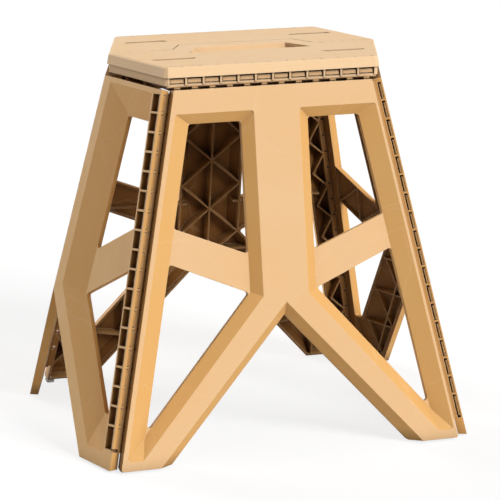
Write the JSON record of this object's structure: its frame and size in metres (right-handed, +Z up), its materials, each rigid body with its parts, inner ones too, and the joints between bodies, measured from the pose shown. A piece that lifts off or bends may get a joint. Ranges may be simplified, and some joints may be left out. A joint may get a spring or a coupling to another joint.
{
  "type": "folding step stool",
  "caption": "Folding moulded-plastic step stool with a hexagonal seat, a hand slot and splayed open-frame legs that fold flat on moulded-in hinges.",
  "frame": {"origin": "on the floor, under the middle of the seat", "axes": "+Z up, +X along the long axis of the seat, -Y towards the front panel"},
  "size_m": [0.4782, 0.3892, 0.45],
  "materials": {
    "tan_plastic": "satin moulded",
    "foot_rubber": "matte"
  },
  "bodies": {
    "seat_rear": {"seat_rear": "tan_plastic"},
    "seat_front": {"seat_front": "tan_plastic"},
    "rear_panel": {"rear_panel": "tan_plastic", "foot_pad_left_rear": "foot_rubber", "foot_pad_right_rear": "foot_rubber"},
    "front_panel": {"front_panel": "tan_plastic", "foot_pad_left_front": "foot_rubber", "foot_pad_right_front": "foot_rubber"},
    "side_left_front": {"side_left_front": "tan_plastic"},
    "side_right_front": {"side_right_front": "tan_plastic"},
    "side_left_rear": {"side_left_rear": "tan_plastic"},
    "side_right_rear": {"side_right_rear": "tan_plastic"}
  },
  "joints": [
    {"name": "seat_middle_hinge", "type": "hinge", "parent": "seat_rear", "child": "seat_front", "pos_m": [0, 0, 0.4275], "axis": [1, 0, 0], "range_deg": [0, 170.8]},
    {"name": "rear_seat_hinge", "type": "hinge", "parent": "seat_rear", "child": "rear_panel", "pos_m": [0, 0.109, 0.4274], "axis": [1, 0, 0], "range_deg": [0, 75.9]},
    {"name": "front_seat_hinge", "type": "hinge", "parent": "seat_front", "child": "front_panel", "pos_m": [0, -0.109, 0.4274], "axis": [-1, 0, 0], "range_deg": [0, 75.9]},
    {"name": "left_front_corner_hinge", "type": "hinge", "parent": "front_panel", "child": "side_left_front", "pos_m": [-0.16404, -0.14122, 0.225], "axis": [0.1977, 0.1702, 0.9654], "range_deg": [0, 67.39]},
    {"name": "right_front_corner_hinge", "type": "hinge", "parent": "front_panel", "child": "side_right_front", "pos_m": [0.16404, -0.14122, 0.225], "axis": [0.1977, -0.1702, -0.9654], "range_deg": [0, 67.39]},
    {"name": "left_rear_corner_hinge", "type": "hinge", "parent": "rear_panel", "child": "side_left_rear", "pos_m": [-0.16404, 0.14122, 0.225], "axis": [-0.1977, 0.1702, -0.9654], "range_deg": [0, 67.39]},
    {"name": "right_rear_corner_hinge", "type": "hinge", "parent": "rear_panel", "child": "side_right_rear", "pos_m": [0.16404, 0.14122, 0.225], "axis": [-0.1977, -0.1702, 0.9654], "range_deg": [0, 67.39]}
  ],
  "couplings": [
    {"joint": "rear_seat_hinge", "follows": "seat_middle_hinge", "ratio": 0.44434},
    {"joint": "front_seat_hinge", "follows": "seat_middle_hinge", "ratio": 0.44434},
    {"joint": "left_front_corner_hinge", "follows": "seat_middle_hinge", "ratio": 0.3945},
    {"joint": "right_front_corner_hinge", "follows": "seat_middle_hinge", "ratio": 0.3945},
    {"joint": "left_rear_corner_hinge", "follows": "seat_middle_hinge", "ratio": 0.3945},
    {"joint": "right_rear_corner_hinge", "follows": "seat_middle_hinge", "ratio": 0.3945}
  ]
}
